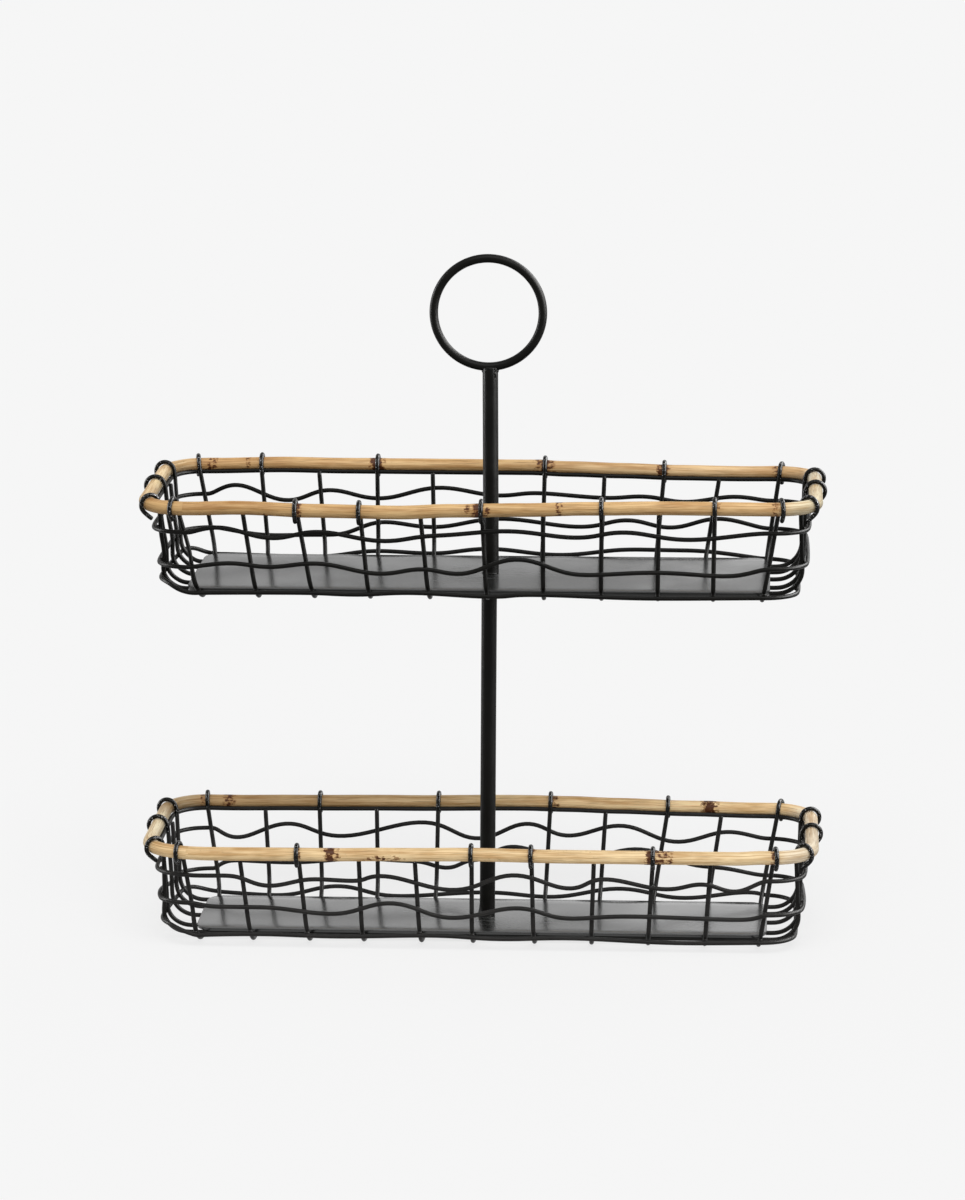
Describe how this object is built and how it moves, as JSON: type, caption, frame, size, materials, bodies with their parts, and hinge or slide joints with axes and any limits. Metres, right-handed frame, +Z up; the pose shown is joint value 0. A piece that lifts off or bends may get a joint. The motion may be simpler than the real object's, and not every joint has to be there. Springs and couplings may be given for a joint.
{
  "type": "two-tier wire storage basket",
  "caption": "Two oblong trays of bent black wire with cane rims and flat bottom plates, carried one above the other on a central upright with a ring handle on top.",
  "frame": {"origin": "on the surface that the stand is put on, under the middle of the trays", "axes": "+Z up along the upright, +X along the trays, -Y is the front"},
  "size_m": [0.4584, 0.1648, 0.4594],
  "materials": {
    "black_paint": "satin black powder coat",
    "plate_paint": "satin black powder coat on sheet",
    "cane": "natural rattan cane, clear skin"
  },
  "bodies": {
    "root": {"lower_base_plate": "plate_paint", "lower_cane_rim": "cane", "lower_cross_wire_01": "black_paint", "lower_cross_wire_02": "black_paint", "lower_cross_wire_03": "black_paint", "lower_cross_wire_04": "black_paint", "lower_cross_wire_05": "black_paint", "lower_cross_wire_06": "black_paint", "lower_cross_wire_07": "black_paint", "lower_cross_wire_08": "black_paint", "lower_cross_wire_09": "black_paint", "lower_cross_wire_10": "black_paint", "lower_cross_wire_11": "black_paint", "lower_long_wire_1": "black_paint", "lower_long_wire_2": "black_paint", "lower_long_wire_3": "black_paint", "lower_long_wire_4": "black_paint", "lower_long_wire_5": "black_paint", "lower_pole": "black_paint", "lower_rim_wire": "black_paint", "lower_wavy_ring_bottom": "black_paint", "lower_wavy_ring_middle": "black_paint", "lower_wavy_ring_top": "black_paint", "ring_handle": "black_paint", "upper_base_plate": "plate_paint", "upper_cane_rim": "cane", "upper_cross_wire_01": "black_paint", "upper_cross_wire_02": "black_paint", "upper_cross_wire_03": "black_paint", "upper_cross_wire_04": "black_paint", "upper_cross_wire_05": "black_paint", "upper_cross_wire_06": "black_paint", "upper_cross_wire_07": "black_paint", "upper_cross_wire_08": "black_paint", "upper_cross_wire_09": "black_paint", "upper_cross_wire_10": "black_paint", "upper_cross_wire_11": "black_paint", "upper_long_wire_1": "black_paint", "upper_long_wire_2": "black_paint", "upper_long_wire_3": "black_paint", "upper_long_wire_4": "black_paint", "upper_long_wire_5": "black_paint", "upper_pole": "black_paint", "upper_rim_wire": "black_paint", "upper_wavy_ring_bottom": "black_paint", "upper_wavy_ring_middle": "black_paint", "upper_wavy_ring_top": "black_paint"}
  },
  "joints": []
}
